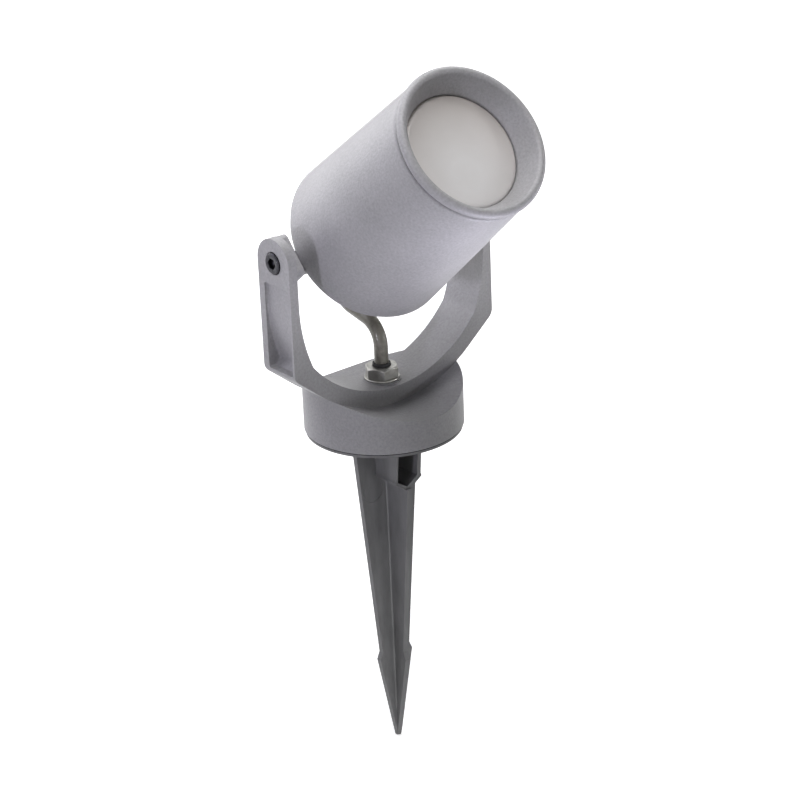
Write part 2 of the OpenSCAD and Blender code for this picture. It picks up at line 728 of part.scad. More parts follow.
module head_hood() {
    stop_back_z = lens_stop_z - stop_t;
    relief_z = stop_back_z - (hood_r(stop_back_z) - hood_wall - stop_r) / 2;
    rear_in = hood_rear_r - hood_wall;
    color(metal_paint) on_head() difference() {
        union() {
            rotate_extrude() {
                difference() {
                    union() {
                        polygon([[rear_in, -head_back], [hood_rear_r - hood_round, -head_back],
                            [hood_rear_r, -head_back + hood_round], [hood_front_r, hood_front_z],
                            [thread_r + thread_gap, hood_front_z], [thread_r + thread_gap, lens_stop_z], [stop_r, lens_stop_z],
                            [stop_r, stop_back_z], [hood_r(relief_z) - hood_wall, relief_z]]);
                        translate([hood_rear_r - hood_round, -head_back + hood_round]) circle(hood_round);
                    }
                }
            }
            intersection() {
                for (a = hood_screw_angles) rotate([0, 0, a]) translate([hood_screw_pcr, 0, -head_back + spigot_h])
                    cylinder(r = hood_screw_r + hood_wall, h = hood_boss_l);
                translate([0, 0, -head_back]) cylinder(r1 = hood_rear_r - hood_wall / 2, r2 = hood_front_r - hood_wall / 2,
                    h = hood_front_z + head_back);
            }
        }
        for (a = hood_screw_angles) rotate([0, 0, a]) translate([hood_screw_pcr, 0, -head_back])
            cylinder(r = hood_screw_r + thread_gap, h = hood_boss_l + spigot_h - hood_wall / 2);
    }
}

module hood_screws() {
    color(black_steel) on_head() for (a = hood_screw_angles) rotate([0, 0, a]) translate([hood_screw_pcr, 0, rear_band_z])
        pan_screw(hood_screw_r, hood_screw_l, hood_screw_head_r, hood_screw_head_h);
}

// Right pivot screw, on the tilt axis, with its head in the arm's counterbore
module pivot_screw() {
    seat_x = arm_x - pivot_sink;
    on_head() {
        translate([ear_x, 0, 0]) rotate([0, 90, 0]) cylinder(r = pivot_r, h = seat_x - ear_x);
        translate([seat_x, 0, 0]) rotate([0, 90, 0]) difference() {
            rotate_extrude() polygon([[0, 0], [pivot_head_r, 0], [pivot_head_r, pivot_head_h - pivot_head_h / 5],
                [pivot_head_r - pivot_head_h / 5, pivot_head_h], [0, pivot_head_h]]);
            translate([0, 0, pivot_head_h / 3]) cylinder(r = pivot_hex / 2 / cos(30), h = pivot_head_h, $fn = 6);
        }
    }
}

module pivot_washer() {
    on_head() translate([ear_x + ear_t, 0, 0]) rotate([0, 90, 0]) difference() {
        cylinder(r = washer_r, h = washer_t);
        translate([0, 0, -cut]) cylinder(r = pivot_r + part_gap, h = washer_t + 2 * cut);
    }
}

module pivot_screw_left() {
    color(black_steel) mirror([1, 0, 0]) pivot_screw();
}

module pivot_screw_right() {
    color(black_steel) pivot_screw();
}

module pivot_washer_left() {
    color(black_steel) mirror([1, 0, 0]) pivot_washer();
}

module pivot_washer_right() {
    color(black_steel) pivot_washer();
}

module holder_bracket() {
    bracket_l = 2 * (bracket_screw_x + bracket_screw_head_r);
    color("silver") on_head() translate([0, 0, bracket_z]) difference() {
        translate([-bracket_l / 2, -bracket_w / 2, 0]) cube([bracket_l, bracket_w, bracket_t]);
        for (s = [-1, 1]) translate([s * bracket_screw_x, 0, -cut])
            cylinder(r = bracket_screw_r + thread_gap, h = bracket_t + 2 * cut);
    }
}

module bracket_screws() {
    color("silver") on_head() for (s = [-1, 1]) translate([s * bracket_screw_x, 0, bracket_z + bracket_t]) rotate([180, 0, 0])
        pan_screw(bracket_screw_r, bracket_screw_l, bracket_screw_head_r, bracket_screw_head_h);
}

// Curved slot for one lamp pin: a wide mouth at its start, and a narrow track that holds the pin's head
module pin_slot(wide_r, narrow_r) {
    track_h = slot_depth - pin_l + pin_head_h + cut / 2;
    translate([0, 0, holder_top_z - slot_depth]) {
        rotate([0, 0, -lock_angle]) {
            translate([pin_pitch / 2, 0, 0]) cylinder(r = wide_r + thread_gap, h = slot_depth + cut);
            rotate_extrude(angle = lock_angle) translate([pin_pitch / 2 - wide_r, 0]) square([2 * wide_r, track_h]);
            rotate_extrude(angle = lock_angle) translate([pin_pitch / 2 - narrow_r, 0])
                square([2 * narrow_r, slot_depth + cut]);
        }
        translate([pin_pitch / 2, 0, 0]) cylinder(r = wide_r + thread_gap, h = track_h);
        translate([pin_pitch / 2, 0, 0]) cylinder(r = narrow_r + thread_gap, h = slot_depth + cut);
    }
}

module lamp_holder() {
    color("#d8d6cd") on_head() difference() {
        translate([0, 0, bracket_z + bracket_t]) cylinder(r = holder_r, h = holder_top_z - bracket_z - bracket_t);
        for (a = [0, 180]) rotate([0, 0, a]) pin_slot(pin_r + part_gap, pin_stem_r + part_gap);
    }
}

module lamp() {
    neck_z = lamp_back_z + lamp_neck_share * lamp_l;
    color("#cfd2d4") on_head() {
        rotate_extrude() polygon([[0, lamp_back_z], [lamp_base_r - cut, lamp_back_z], [lamp_base_r, lamp_back_z + cut],
            [lamp_base_r, neck_z], [lamp_r - cut, lamp_face_z - lamp_flange_h], [lamp_r, lamp_face_z - lamp_flange_h],
            [lamp_r, lamp_face_z - cut], [lamp_r - cut, lamp_face_z], [0, lamp_face_z]]);
        for (s = [-1, 1]) translate([s * pin_pitch / 2, 0, lamp_back_z - pin_l]) {
            cylinder(r = pin_stem_r, h = pin_l + cut);
            cylinder(r = pin_r, h = pin_head_h);
        }
    }
}

module lens_glass() {
    dome_r = lip_r - 2 * part_gap - lens_bevel;
    sphere_r = (pow(dome_r, 2) + pow(lens_dome, 2)) / (2 * lens_dome);
    dome_z = lens_lip_z - part_gap + lens_bevel;
    color([0.86, 0.85, 0.8, 0.8]) on_head() {
        rotate_extrude() polygon([[0, lens_back_z], [lens_r, lens_back_z], [lens_r, lens_lip_z - part_gap],
            [dome_r + lens_bevel, lens_lip_z - part_gap], [dome_r, dome_z], [0, dome_z]]);
        intersection() {
            translate([0, 0, dome_z + lens_dome - sphere_r]) sphere(sphere_r, $fn = 180);
            translate([0, 0, dome_z - cut]) cylinder(r = dome_r, h = lens_dome + 2 * cut);
        }
    }
}

module lens_seal() {
    color(dark_rubber) on_head() translate([0, 0, lens_stop_z]) difference() {
        cylinder(r = lens_r, h = lens_seal_t);
        translate([0, 0, -cut]) cylinder(r = stop_r, h = lens_seal_t + 2 * cut);
    }
}

module front_ring() {
    lip_z = lens_lip_z + lip_t;
    collar_z = head_front - rim_h;
    cone_r = rim_r - 2 * rim_round;
    color(metal_paint) on_head() {
        rotate_extrude() polygon([[lip_r, lens_lip_z], [lip_r, lip_z], [cone_r + rim_round / 4, head_front - rim_round],
            [rim_r - rim_round / 4, head_front - rim_round], [rim_r - part_gap, collar_z + cut],
            [hood_front_r - cut, collar_z], [thread_r, collar_z], [thread_r, sleeve_z], [thread_r - sleeve_t, sleeve_z],
            [thread_r - sleeve_t, lens_lip_z]]);
        rotate_extrude() translate([rim_r - rim_round, head_front - rim_round]) circle(rim_round);
    }
}

yoke();
canopy();
base_gasket();
bottom_cover();
cover_screws();
spike();
spike_screws();
spike_nuts();
supply_grommet();
terminal_block();
base_gland_body();
base_gland_nut();
base_gland_seal();
lead();
rear_housing();
rear_seal();
head_hood();
hood_screws();
pivot_screw_left();
pivot_screw_right();
pivot_washer_left();
pivot_washer_right();
rear_gland_body();
rear_gland_nut();
rear_gland_seal();
holder_bracket();
bracket_screws();
lamp_holder();
lamp();
lens_glass();
lens_seal();
front_ring();
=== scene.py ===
"""Garden spike spotlight: the looks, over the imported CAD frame.

Outlines are written in millimetres and turned to metres where a piece is made. Materials, lamps and the camera's
place are in metres.
"""
import bpy
import math
from mathutils import Matrix, Vector


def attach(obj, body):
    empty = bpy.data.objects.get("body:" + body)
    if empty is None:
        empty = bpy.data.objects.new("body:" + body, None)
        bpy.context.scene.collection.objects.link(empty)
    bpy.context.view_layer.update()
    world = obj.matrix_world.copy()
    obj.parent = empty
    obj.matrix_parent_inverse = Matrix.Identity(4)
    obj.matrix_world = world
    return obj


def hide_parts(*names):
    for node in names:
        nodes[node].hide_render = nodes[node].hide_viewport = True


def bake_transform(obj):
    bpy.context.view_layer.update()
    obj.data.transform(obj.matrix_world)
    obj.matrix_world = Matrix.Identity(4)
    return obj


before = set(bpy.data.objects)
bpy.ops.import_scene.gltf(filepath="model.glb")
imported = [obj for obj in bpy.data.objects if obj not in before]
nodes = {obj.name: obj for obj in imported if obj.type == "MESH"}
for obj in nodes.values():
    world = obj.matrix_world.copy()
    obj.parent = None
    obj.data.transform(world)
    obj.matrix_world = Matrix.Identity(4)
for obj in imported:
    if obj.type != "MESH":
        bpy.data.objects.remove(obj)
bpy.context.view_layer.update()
scene = bpy.context.scene
MM = 0.001

# Sizes that part.scad states, in mm
PIVOT_H = 100
HEAD_LEAN = math.radians(50)
SPAN = 57.0
ARM_X = 61.8
ARM_W = 24.0
ARM_FOOT_X = 50.5
BAND_R = ARM_FOOT_X / math.cos(math.radians(38.3))
ARC_Z = 14.5 + 8.6 + BAND_R
SADDLE_R = BAND_R + 8.6
FOOT_Z = ARC_Z - math.sqrt(BAND_R ** 2 - ARM_FOOT_X ** 2)
BEND_Z = FOOT_Z - 4
CURVE_Z = 80.0
LEAN = SPAN - ARM_FOOT_X
CURVE_R = ((CURVE_Z - FOOT_Z) ** 2 + LEAN ** 2) / (2 * LEAN)
CURVE_X = SPAN - CURVE_R
CANOPY_R = 39.5
GLAND_SEAT = 24.0
GLAND_BORE_R = 6.1
COLLAR_R = 8.8
COLLAR_H = 1.1
NUT_TOP = 6.7
REAR_Z = -22.9
EAR_X = 54.2
HOOD_SCREW_PCR = 35.2
HOOD_SCREW_ANGLES = (90, 215, 325)
COVER_SCREW_PCR = 33.9
COVER_SCREW_ANGLES = (35, 145, 270)
LEAD_R = 3.5

HEAD = Matrix.Translation((0, 0, PIVOT_H * MM)) @ Matrix.Rotation(HEAD_LEAN, 4, "X")
BASE_GLAND = Matrix.Translation((0, 0, GLAND_SEAT * MM))
REAR_GLAND = HEAD @ Matrix.Translation((0, 0, REAR_Z * MM)) @ Matrix.Rotation(math.pi, 4, "X")
ON_X = Matrix.Rotation(math.pi / 2, 4, "Y")
STAND = Matrix.Rotation(math.pi / 2, 4, "X")
ACROSS = Matrix(((0, 0, 1, 0), (1, 0, 0, 0), (0, 1, 0, 0), (0, 0, 0, 1)))


def round_axis(angle, distance):
    """Place at a distance in mm from the vertical axis, at an angle in degrees round it."""
    return Matrix.Rotation(math.radians(angle), 4, "Z") @ Matrix.Translation((distance * MM, 0, 0))


def set_camera():
    """Camera at the photo's view, turned so that the part sits in the frame as in the photo."""
    azimuth, elevation, roll = (math.radians(a) for a in (-38.28, 21.54, -2.61))
    picture, sensor, distance, aim_height = 800, 36, 1.4, 60
    # Focal length and the picture point of the aim, in pixels
    focal, middle_u, middle_v = 2887.29, 379.06, 308.61
    back = Vector((math.sin(azimuth) * math.cos(elevation), -math.cos(azimuth) * math.cos(elevation),
                   math.sin(elevation)))
    right = Vector((math.cos(azimuth), math.sin(azimuth), 0))
    up = back.cross(right)
    place = Vector((0, 0, aim_height * MM)) + back * distance
    right, up = right * math.cos(roll) + up * math.sin(roll), up * math.cos(roll) - right * math.sin(roll)
    away = back * focal - right * (picture / 2 - middle_u) + up * (picture / 2 - middle_v)
    focal = away.length
    away.normalize()
    right = (right - away * right.dot(away)).normalized()
    turn = Matrix((right, away.cross(right), away)).transposed().to_4x4()
    lens = bpy.data.cameras.new("photo_view")
    lens.sensor_width = sensor
    lens.lens = focal * sensor / picture
    lens.clip_end = 20
    camera = bpy.data.objects.new("photo_view", lens)
    camera.matrix_world = Matrix.Translation(place) @ turn
    scene.collection.objects.link(camera)
    scene.camera = camera


def rounded(corners, step=8):
    """Closed outline from (x, y, radius) corners: each radius becomes an arc of points about step degrees apart."""
    points = []
    for i, (x, y, r) in enumerate(corners):
        here = Vector((x, y))
        before = Vector(corners[i - 1][:2]) - here
        after = Vector(corners[(i + 1) % len(corners)][:2]) - here
        if r <= 0 or before.length < 1e-6 or after.length < 1e-6:
            points.append((x, y))
            continue
        half = before.angle(after) / 2
        if half > math.radians(89.5):
            points.append((x, y))
            continue
        cut = min(r / math.tan(half), 0.499 * before.length, 0.499 * after.length)
        r = cut * math.tan(half)
        centre = here + (before.normalized() + after.normalized()).normalized() * (r / math.sin(half))
        start = here + before.normalized() * cut - centre
        end = here + after.normalized() * cut - centre
        sweep = start.angle_signed(end)
        count = max(2, int(abs(math.degrees(sweep)) / step) + 1)
        for k in range(count + 1):
            spot = start.copy()
            spot.rotate(Matrix.Rotation(-sweep * k / count, 2))
            points.append(tuple(centre + spot))
    return points


def arc(cx, cy, r, start, end, step=3):
    """Points on an arc, from one angle to another in degrees."""
    count = max(2, int(abs(end - start) / step))
    return [(cx + r * math.cos(math.radians(start + (end - start) * k / count)),
             cy + r * math.sin(math.radians(start + (end - start) * k / count))) for k in range(count + 1)]


def all_clear():
    if bpy.context.object and bpy.context.object.mode != "OBJECT":
        bpy.ops.object.mode_set(mode="OBJECT")
    bpy.ops.object.select_all(action="DESELECT")


def take(obj):
    all_clear()
    obj.select_set(True)
    bpy.context.view_layer.objects.active = obj


def pull_line(name, points):
    """A point pulled along the given places, in mm, by extruding it: left in edit mode with all of it selected."""
    all_clear()
    bpy.ops.mesh.primitive_plane_add(size=MM, location=(0, 0, 0))
    obj = bpy.context.object
    obj.name = name
    bpy.ops.object.mode_set(mode="EDIT")
    bpy.ops.mesh.select_all(action="SELECT")
    bpy.ops.mesh.merge(type="CENTER")
    spots = [Vector(p) * MM for p in points]
    bpy.ops.transform.translate(value=spots[0])
    for a, b in zip(spots, spots[1:]):
        bpy.ops.mesh.extrude_region_move(TRANSFORM_OT_translate={"value": b - a})
    bpy.ops.mesh.select_all(action="SELECT")
    return obj


def close_up(obj, place=None):
    """Doubles merged, faces turned outwards, and the piece put in its place, with its object at the origin."""
    bpy.ops.mesh.select_all(action="SELECT")
    bpy.ops.mesh.remove_doubles(threshold=1e-6)
    bpy.ops.mesh.normals_make_consistent(inside=False)
    bpy.ops.object.mode_set(mode="OBJECT")
    if place is not None:
        obj.data.transform(place)
    return obj


def lathe(name, outline, place=None, steps=144):
    """A closed outline of (radius, height) points, spun round the vertical axis."""
    obj = pull_line(name, [(x, 0, z) for x, z in list(outline) + [outline[0]]])
    bpy.ops.mesh.spin(steps=steps, angle=2 * math.pi, center=(0, 0, 0), axis=(0, 0, 1))
    return close_up(obj, place)


def slab(name, outline, low, high, place=None):
    """A closed outline in the XY plane, filled, and extruded from one height to the other."""
    obj = pull_line(name, [(x, y, low) for x, y in outline])
    bpy.ops.mesh.edge_face_add()
    bpy.ops.mesh.select_all(action="SELECT")
    bpy.ops.mesh.extrude_region_move(TRANSFORM_OT_translate={"value": (0, 0, (high - low) * MM)})
    return close_up(obj, place)


def rod(name, r, low, high, place=None, sides=96):
    return slab(name, arc(0, 0, r, 0, 360, 360 / sides)[:-1], low, high, place)


def carve(obj, tool, operation="DIFFERENCE"):
    take(obj)
    change = obj.modifiers.new("carve", "BOOLEAN")
    change.operation = operation
    change.solver = "EXACT"
    change.object = tool
    bpy.ops.object.modifier_apply(modifier=change.name)
    bpy.data.objects.remove(tool)
    return obj


def soften(obj, width, segments=3, angle=28):
    """Edges broken by a small radius, as a casting or moulding has them."""
    take(obj)
    change = obj.modifiers.new("soften", "BEVEL")
    change.width = width * MM
    change.segments = segments
    change.limit_method = "ANGLE"
    change.angle_limit = math.radians(angle)
    change.use_clamp_overlap = True
    change.harden_normals = False
    bpy.ops.object.modifier_apply(modifier=change.name)
    return obj


def smooth(obj, angle=32):
    take(obj)
    bpy.ops.object.shade_smooth_by_angle(angle=math.radians(angle))
    return obj


def even_normals(obj):
    """Flat faces keep their flat shading beside small radii."""
    take(obj)
    change = obj.modifiers.new("even", "WEIGHTED_NORMAL")
    change.keep_sharp = True
    bpy.ops.object.modifier_apply(modifier=change.name)
    return obj


def linear(hex_colour):
    parts = [int(hex_colour[i:i + 2], 16) / 255 for i in (1, 3, 5)]
    return [p / 12.92 if p <= 0.04045 else ((p + 0.055) / 1.055) ** 2.4 for p in parts] + [1.0]


def add(tree, kind, inputs=None, links=None, **settings):
    """One node with its settings, its input values and its links."""
    made = tree.nodes.new(kind)
    for name, value in settings.items():
        setattr(made, name, value)
    for name, value in (inputs or {}).items():
        made.inputs[name].default_value = value
    for name, source in (links or {}).items():
        tree.links.new(source, made.inputs[name])
    return made


def new_material(name, **surface):
    made = bpy.data.materials.new(name)
    made.use_nodes = True
    tree = made.node_tree
    tree.nodes.clear()
    shader = add(tree, "ShaderNodeBsdfPrincipled", surface)
    add(tree, "ShaderNodeOutputMaterial", links={"Surface": shader.outputs["BSDF"]})
    where = add(tree, "ShaderNodeTexCoord").outputs["Object"]
    return made, tree, shader, where


def two_tones(tree, shader, fac, low, high, dark, light):
    ramp = add(tree, "ShaderNodeValToRGB", links={"Fac": fac})
    ramp.color_ramp.elements[0].position = low
    ramp.color_ramp.elements[0].color = linear(dark)
    ramp.color_ramp.elements[1].position = high
    ramp.color_ramp.elements[1].color = linear(light)
    tree.links.new(ramp.outputs["Color"], shader.inputs["Base Color"])
    return ramp


def vary_gloss(tree, shader, fac, low, high):
    rough = add(tree, "ShaderNodeMapRange", {"To Min": low, "To Max": high}, {"Value": fac})
    tree.links.new(rough.outputs["Result"], shader.inputs["Roughness"])


def add_relief(tree, shader, height, strength, distance):
    bump = add(tree, "ShaderNodeBump", {"Strength": strength, "Distance": distance}, {"Height": height})
    tree.links.new(bump.outputs["Normal"], shader.inputs["Normal"])


def noise(tree, where, size, detail, **more):
    """Noise texture whose grain is about the given size in metres."""
    made = add(tree, "ShaderNodeTexNoise", {"Scale": 1 / size, "Detail": detail, **more}, {"Vector": where})
    return made.outputs["Fac"]


def powder_coat():
    """Polyester powder coat on cast aluminium, fine texture: a dry, slightly gritty silver-grey with a lilac cast,
    with painted shade that darkens it towards the ground.
    """
    made, tree, shader, where = new_material("powder_coat_silver", Metallic=0.05, Roughness=0.45, IOR=1.5)
    # Grit of 1.2 mm, coarser than such a coat has, so that it shows in the render
    grit = noise(tree, where, 0.0012, 3.0, Roughness=0.6)
    cloud = noise(tree, where, 0.03, 2.0, Roughness=0.5)
    both = add(tree, "ShaderNodeMix", {"Factor": 0.35}, {"A": grit, "B": cloud})
    ramp = two_tones(tree, shader, both.outputs["Result"], 0.3, 0.7, "#99989a", "#b7b6b9")
    # Painted shade: darker towards the ground, only to match the darker tones of the lower castings, not a colour of
    # the coat. Darker towards the ground, only to come nearer to the photo's tones on the lower castings
    height = add(tree, "ShaderNodeSeparateXYZ", links={"Vector": where})
    shade = add(tree, "ShaderNodeMapRange", {"From Min": 0.02, "From Max": 0.07, "To Min": 0.68, "To Max": 1.0},
                {"Value": height.outputs["Z"]})
    # The ramp's colour scaled down by the painted shade
    painted_shade_coat = add(tree, "ShaderNodeVectorMath", links={0: ramp.outputs["Color"], "Scale": shade.outputs["Result"]},
                 operation="SCALE")
    tree.links.new(painted_shade_coat.outputs["Vector"], shader.inputs["Base Color"])
    vary_gloss(tree, shader, grit, 0.4, 0.54)
    add_relief(tree, shader, grit, 0.85, 0.00022)
    return made


def moulded_nylon():
    """Glass-filled nylon, injection moulded: dark grey, satin, with faint flow mottling and fine spark texture."""
    made, tree, shader, where = new_material("moulded_nylon_grey", Roughness=0.5, IOR=1.53)
    flow = add(tree, "ShaderNodeMapping", links={"Vector": where})
    flow.inputs["Scale"].default_value = (1, 1, 0.25)
    mottle = noise(tree, flow.outputs["Vector"], 0.006, 4.0, Roughness=0.6)
    two_tones(tree, shader, mottle, 0.3, 0.7, "#5a5a5b", "#6f6f70")
    spark = noise(tree, where, 0.0007, 2.0)
    vary_gloss(tree, shader, mottle, 0.42, 0.58)
    add_relief(tree, shader, spark, 0.35, 0.00006)
    return made


def black_rubber():
    """Moulded EPDM rubber: near black, dull, with a faint bloom."""
    made, tree, shader, where = new_material("epdm_rubber", Roughness=0.75, IOR=1.52)
    bloom = noise(tree, where, 0.004, 3.0)
    two_tones(tree, shader, bloom, 0.35, 0.75, "#0f0f10", "#1c1c1d")
    add_relief(tree, shader, bloom, 0.2, 0.00005)
    return made


def black_oxide():
    """Black-oxide steel screws: oily black metal that catches small bright glints."""
    made, tree, shader, where = new_material("black_oxide_steel", Metallic=0.85, Roughness=0.2)
    grain = noise(tree, where, 0.0009, 3.0)
    two_tones(tree, shader, grain, 0.3, 0.75, "#26262a", "#4a4a4f")
    vary_gloss(tree, shader, grain, 0.12, 0.26)
    return made


def plated_brass():
    """Nickel-plated brass gland: warm grey metal with a soft gloss."""
    made, tree, shader, where = new_material("nickel_plated_brass", Metallic=0.85, Roughness=0.4)
    haze = noise(tree, where, 0.003, 4.0)
    two_tones(tree, shader, haze, 0.3, 0.7, "#84837f", "#a3a29e")
    vary_gloss(tree, shader, haze, 0.28, 0.46)
    return made


def zinc_plate():
    """Zinc-plated steel: pale blue-grey metal, slightly cloudy."""
    made, tree, shader, where = new_material("zinc_plated_steel", Metallic=1.0, Roughness=0.34)
    spangle = add(tree, "ShaderNodeTexVoronoi", {"Scale": 1 / 0.003}, {"Vector": where})
    two_tones(tree, shader, spangle.outputs["Distance"], 0.0, 0.8, "#9a9da3", "#b9bcc0")
    return made


def lead_sheath():
    """Grey rubber-sheathed flexible lead: satin and faintly mottled."""
    made, tree, shader, where = new_material("rubber_lead_grey", Roughness=0.3, IOR=1.52)
    speck = noise(tree, where, 0.0022, 3.0)
    two_tones(tree, shader, speck, 0.3, 0.7, "#757167", "#8b887c")
    add_relief(tree, shader, speck, 0.15, 0.00004)
    return made


def frosted_glass():
    """Frosted lens: milky warm grey, with a smooth outer skin that shows soft highlights, and a painted glow with
    painted shade towards the edge.
    """
    made, tree, shader, where = new_material("frosted_borosilicate", Roughness=0.3, IOR=1.47)
    shader.inputs["Transmission Weight"].default_value = 0.1
    shader.inputs["Coat Weight"].default_value = 0.35
    shader.inputs["Coat Roughness"].default_value = 0.12
    cloud = noise(tree, where, 0.02, 3.0, Roughness=0.6)
    # Painted light: a glow brightest a little below the middle, and painted shade, warmer and darker towards the edge
    painted_glow_distance = add(tree, "ShaderNodeVectorMath", {1: HEAD @ Vector((-0.005, -0.012, 0.087))}, {0: where},
                 operation="DISTANCE")
    glow = add(tree, "ShaderNodeMapRange", {"From Min": 0.044, "From Max": 0.008, "To Min": 0.1, "To Max": 0.9},
               {"Value": painted_glow_distance.outputs["Value"]})
    # The painted glow, mixed with a little random cloud
    both = add(tree, "ShaderNodeMix", {"Factor": 0.15}, {"A": glow.outputs["Result"], "B": cloud})
    two_tones(tree, shader, both.outputs["Result"], 0.1, 0.85, "#cdc4be", "#faf8f8")
    frost = noise(tree, where, 0.0009, 2.0)
    add_relief(tree, shader, frost, 0.15, 0.00005)
    return made


def steatite():
    """Glazed steatite of the lamp holder and terminal block: warm white, glossy, a little speckled."""
    made, tree, shader, where = new_material("glazed_steatite", Roughness=0.25, IOR=1.6)
    speck = noise(tree, where, 0.0015, 3.0)
    two_tones(tree, shader, speck, 0.25, 0.6, "#cfcabd", "#e9e5da")
    return made


def silvered_glass():
    """Facetted, silvered glass of the reflector lamp."""
    made, tree, shader, where = new_material("silvered_glass", Metallic=0.8, Roughness=0.15)
    facet = add(tree, "ShaderNodeTexVoronoi", {"Scale": 1 / 0.0035}, {"Vector": where})
    two_tones(tree, shader, facet.outputs["Distance"], 0.0, 0.9, "#c4c7ca", "#e4e6e8")
    add_relief(tree, shader, facet.outputs["Distance"], 0.4, 0.0002)
    return made


def finish_in(material, *objects):
    for obj in objects:
        obj.data.materials.clear()
        obj.data.materials.append(material)


def fit(piece, body, material, slot, *stands_for):
    finish_in(material, piece)
    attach(piece, body)
    if stands_for:
        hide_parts(*stands_for)
    return piece


def make_hood():
    """Tapered hood: rounded rear edge, thin front edge, stop for the lens seal and three screw bosses inside."""
    outline = rounded([
        (39.2, -7.5, 0.3), (42.2, -7.5, 2.0), (37.6, 92.35, 2.2), (34.1, 92.35, 0.2), (34.1, 79.7, 0),
        (29.4, 79.7, 0.3), (29.4, 77.2, 0.3), (35.4, 74.25, 0.5)], 10)
    hood = lathe("hood_shell", outline, HEAD)
    for angle in HOOD_SCREW_ANGLES:
        spot = HEAD @ round_axis(angle, HOOD_SCREW_PCR)
        boss = rod("boss", 4.4, -1.5, 13.5, spot, 48)
        carve(boss, rod("bore", 2.1, -4, 12, spot, 32))
        take(boss)
        hood.select_set(True)
        bpy.context.view_layer.objects.active = hood
        bpy.ops.object.join()
    return smooth(hood)


def make_ring():
    """Screwed front ring: rounded rim, undercut behind it, deep inner cone, lip over the lens and threaded sleeve."""
    bead = arc(35.85, 95.6, 2.35, 152, -38, 9)
    thread = []
    for k in range(5):
        z = 91.2 - 2 * k
        thread += [(34.0, z), (33.4, z - 0.7), (33.4, z - 1.1), (34.0, z - 1.8)]
    outline = [(28.9, 85.0), (28.9, 86.6), (29.0, 86.95), (29.3, 87.3)] + bead + [
        (37.4, 93.5), (37.05, 93.0), (36.7, 92.7), (34.0, 92.6)] + thread + [(34.0, 80.6), (31.7, 80.6), (31.7, 85.0)]
    return smooth(lathe("rim_ring", outline, HEAD))


def make_lens():
    """Pressed lens: flat rim under the ring's lip, a bevel, and a low dome."""
    dome = [(r, 88.1 - 1.6 * (r / 27.3) ** 2) for r in (26, 23, 20, 16, 12, 8, 4, 0)]
    inside = [(0, 82.4), (14, 82.0), (26, 81.2)]
    outline = inside + [(31.4, 81.2), (31.4, 84.7), (28.6, 84.7), (28.55, 85.6), (28.2, 86.1), (27.4, 86.45)] + dome
    return smooth(lathe("lens_dome", outline, HEAD), 40)


def make_rear():
    """Rear housing: cone behind the hood, spigot inside it, two ears on bridges, gland bore and screw counterbores."""
    outline = rounded([
        (0, REAR_Z, 0), (30, REAR_Z, 3), (40.5, -10.1, 1.2), (40.5, -8.1, 0.3), (38.6, -8.1, 0.1), (38.6, -1.5, 0.6),
        (30.4, -1.5, 0.6), (27, -19.9, 2), (0, -19.9, 0)], 10)
    rear = lathe("rear_cap", outline, HEAD)
    for side in (-1, 1):
        plate = rounded([(-11, -16, 5.5), (11, -16, 5.5), (11, 6.5, 3), (-11, 6.5, 3)], 9)
        spot = HEAD @ Matrix.Translation((side * EAR_X * MM, 0, 0)) @ ACROSS
        ear = slab("ear", plate, -2.2, 2.2, spot)
        low, high = (30, EAR_X) if side > 0 else (-EAR_X, -30)
        bridge = slab("bridge", [(low, -5.5), (high, -5.5), (high, 5.5), (low, 5.5)], -15.95, -10.1, HEAD)
        carve(ear, bridge, "UNION")
        carve(ear, rod("hole", 3.0, -5, 5, spot, 48))
        carve(rear, ear, "UNION")
    carve(rear, rod("gland_bore", GLAND_BORE_R, -30, -18, HEAD, 64))
    for angle in HOOD_SCREW_ANGLES:
        spot = HEAD @ round_axis(angle, HOOD_SCREW_PCR)
        carve(rear, rod("counterbore", 3.8, -30, -10.1, spot, 48))
        carve(rear, rod("bore", 2.1, -12, 0, spot, 32))
    soften(rear, 0.45)
    return smooth(rear)


def yoke_outline():
    """Front view of the yoke: straight arms that bend into the round foot."""
    top, rounding = 113, 3
    bend_at = math.hypot(ARM_X, ARC_Z - BEND_Z)
    bend = math.degrees(math.atan2(BEND_Z - ARC_Z, ARM_X) - math.acos(SADDLE_R / bend_at))
    arm_end = -math.degrees(math.asin((CURVE_Z - FOOT_Z) / CURVE_R))
    foot_end = -math.degrees(math.asin((ARC_Z - FOOT_Z) / BAND_R))
    inner = [(SPAN, top)] + arc(CURVE_X, CURVE_Z, CURVE_R, 0, arm_end, 1.5)
    inner += arc(0, ARC_Z, BAND_R, foot_end, -90, 2)[1:]
    outer = arc(0, ARC_Z, SADDLE_R, -90, bend, 2)
    below = Vector((outer[-1][0] - ARM_X, outer[-1][1] - BEND_Z)).normalized() * rounding
    outer += [(ARM_X + below.x * t ** 2, BEND_Z + below.y * t ** 2 + rounding * (1 - t) ** 2)
              for t in (1, 0.8, 0.6, 0.4, 0.2, 0)]
    outer += [(ARM_X, top)]
    right_side = outer[1:] + inner[:-1]
    left_side = [(-x, z) for x, z in reversed(right_side)]
    return [outer[0]] + right_side + [inner[-1]] + left_side


